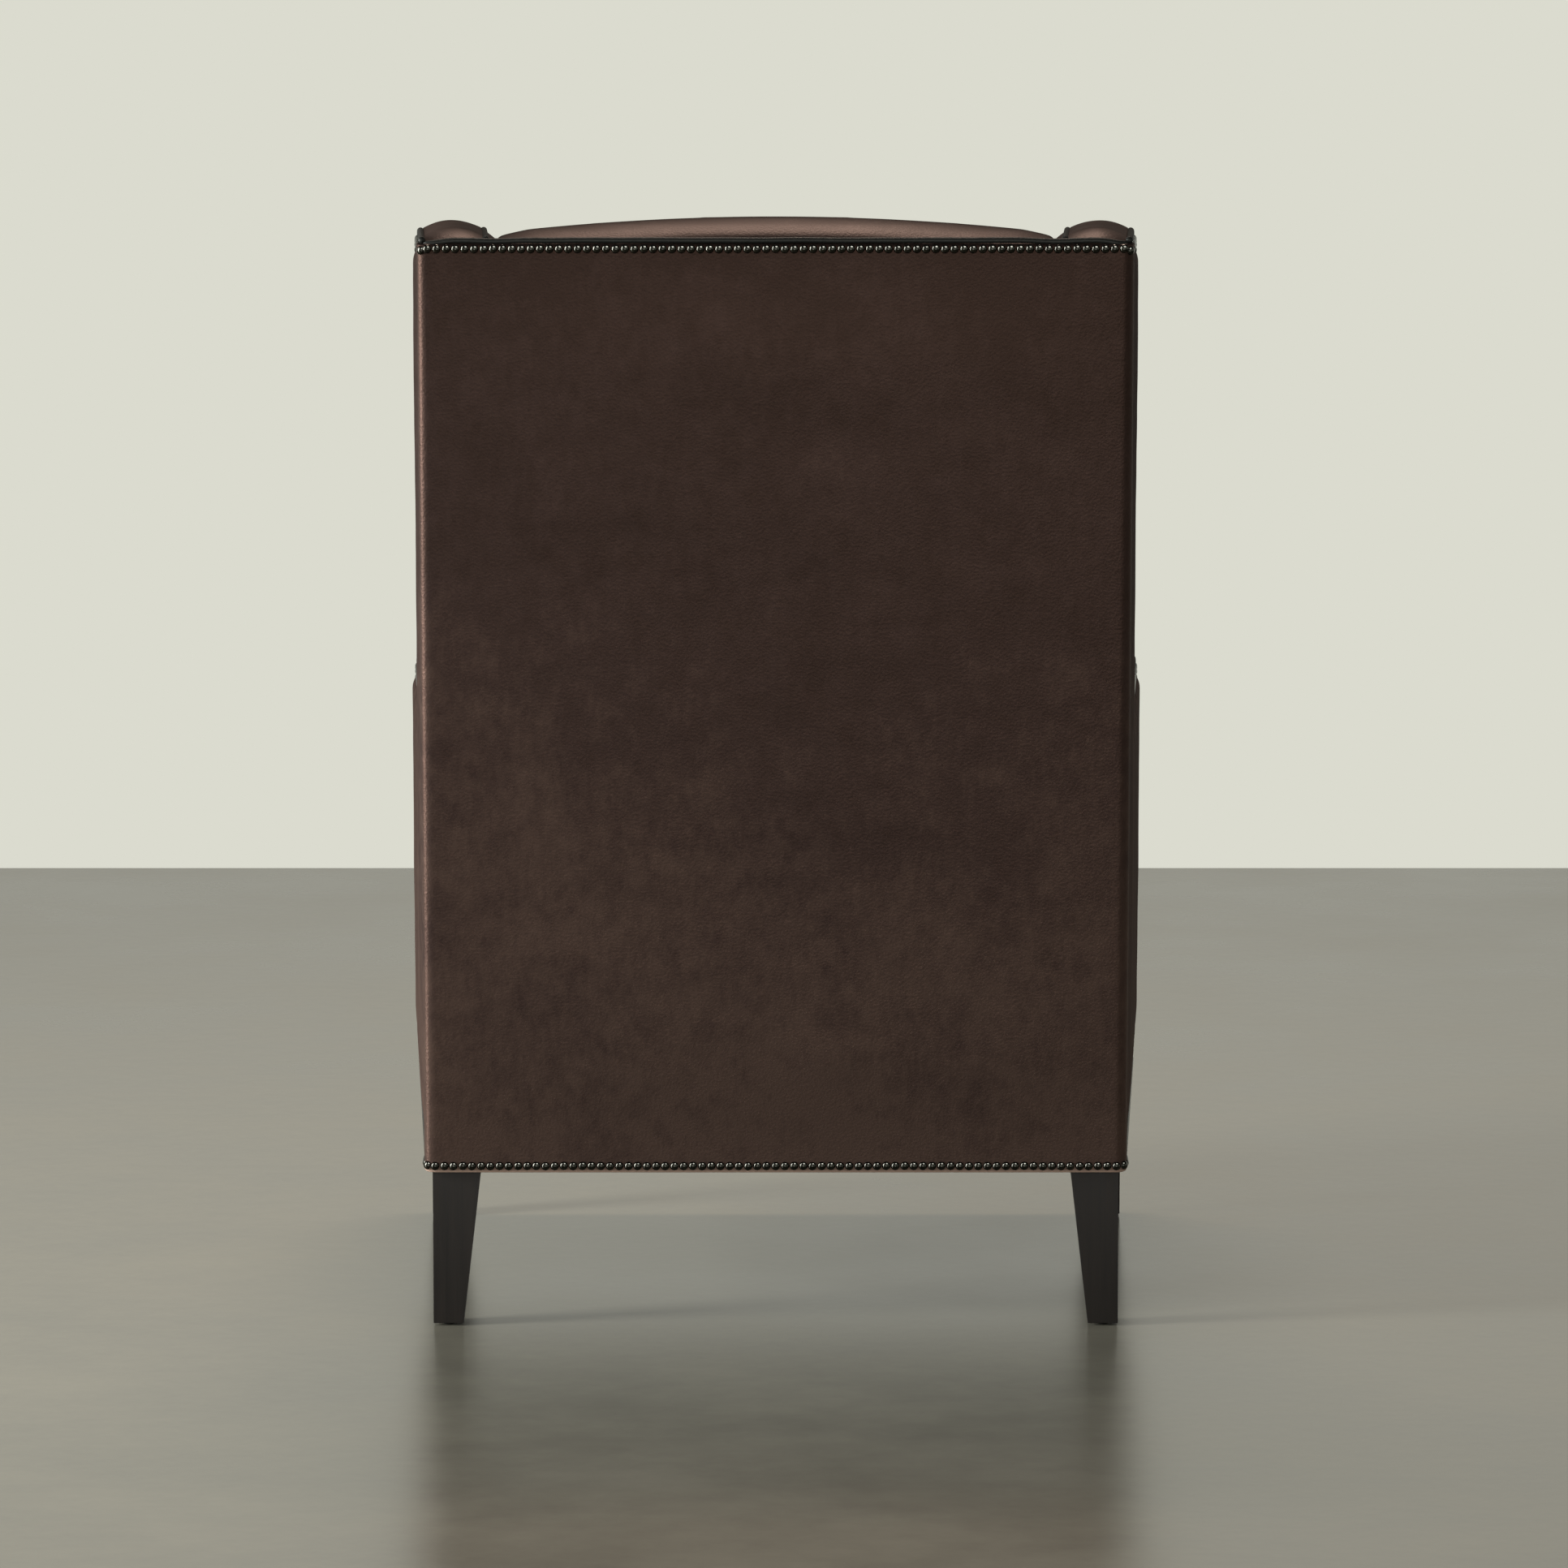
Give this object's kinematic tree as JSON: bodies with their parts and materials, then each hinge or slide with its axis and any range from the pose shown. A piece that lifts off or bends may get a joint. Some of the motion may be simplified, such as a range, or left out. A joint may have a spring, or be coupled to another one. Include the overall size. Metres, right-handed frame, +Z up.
{
  "type": "wing lounge chair",
  "caption": "High-back wing lounge chair in dark leather, with welted and nailed edges, a loose seat cushion and tapered wooden legs.",
  "frame": {"origin": "on the floor, at the middle of the chair's width and depth", "axes": "+Z up, the sitter faces -Y, +X is the sitter's left"},
  "size_m": [0.7806, 0.8422, 1.1291],
  "materials": {
    "leather": "dark brown aniline leather, cloudy and waxed",
    "welt_leather": "charcoal leather cord, worn smooth",
    "nail_metal": "blackened steel dome, polished",
    "leg_wood": "ebony stain, satin lacquer",
    "frame_wood": "planed hardwood",
    "webbing": "woven elastic",
    "dust_cloth": "thin matt cloth",
    "bolt_steel": "zinc plated",
    "glide_plastic": "dark nylon"
  },
  "bodies": {
    "chair": {"arm_post_left": "frame_wood", "arm_post_right": "frame_wood", "arm_rail_left": "frame_wood", "arm_rail_right": "frame_wood", "back_post_left": "frame_wood", "back_post_right": "frame_wood", "back_top_welt": "welt_leather", "back_webbing": "webbing", "corner_blocks": "frame_wood", "crest_rail": "frame_wood", "dust_cover": "dust_cloth", "front_border": "leather", "front_rail": "frame_wood", "glides": "glide_plastic", "inner_welt_left": "welt_leather", "inner_welt_right": "welt_leather", "inside_arm_left": "leather", "inside_arm_right": "leather", "inside_back": "leather", "inside_wing_left": "leather", "inside_wing_right": "leather", "leg_bolts": "bolt_steel", "leg_front_left": "leg_wood", "leg_front_right": "leg_wood", "leg_rear_left": "leg_wood", "leg_rear_right": "leg_wood", "nails_back_base": "nail_metal", "nails_back_top": "nail_metal", "nails_front_base": "nail_metal", "nails_side_base_left": "nail_metal", "nails_side_base_right": "nail_metal", "nails_side_edge_left": "nail_metal", "nails_side_edge_right": "nail_metal", "outer_welt_left": "welt_leather", "outer_welt_right": "welt_leather", "outside_back": "leather", "outside_panel_left": "leather", "outside_panel_right": "leather", "rear_rail": "frame_wood", "seat_deck": "leather", "seat_webbing": "webbing", "side_boxing_left": "leather", "side_boxing_right": "leather", "side_rail_left": "frame_wood", "side_rail_right": "frame_wood", "tie_rail": "frame_wood", "wing_post_left": "frame_wood", "wing_post_right": "frame_wood", "wing_rail_left": "frame_wood", "wing_rail_right": "frame_wood"},
    "cushion": {"seat_cushion": "leather", "cushion_welt_lower": "welt_leather", "cushion_welt_upper": "welt_leather"}
  },
  "joints": [
    {"name": "cushion_lift", "type": "slide", "parent": "chair", "child": "cushion", "axis": [0, 0, 1], "range_m": [0, 0.32]}
  ]
}
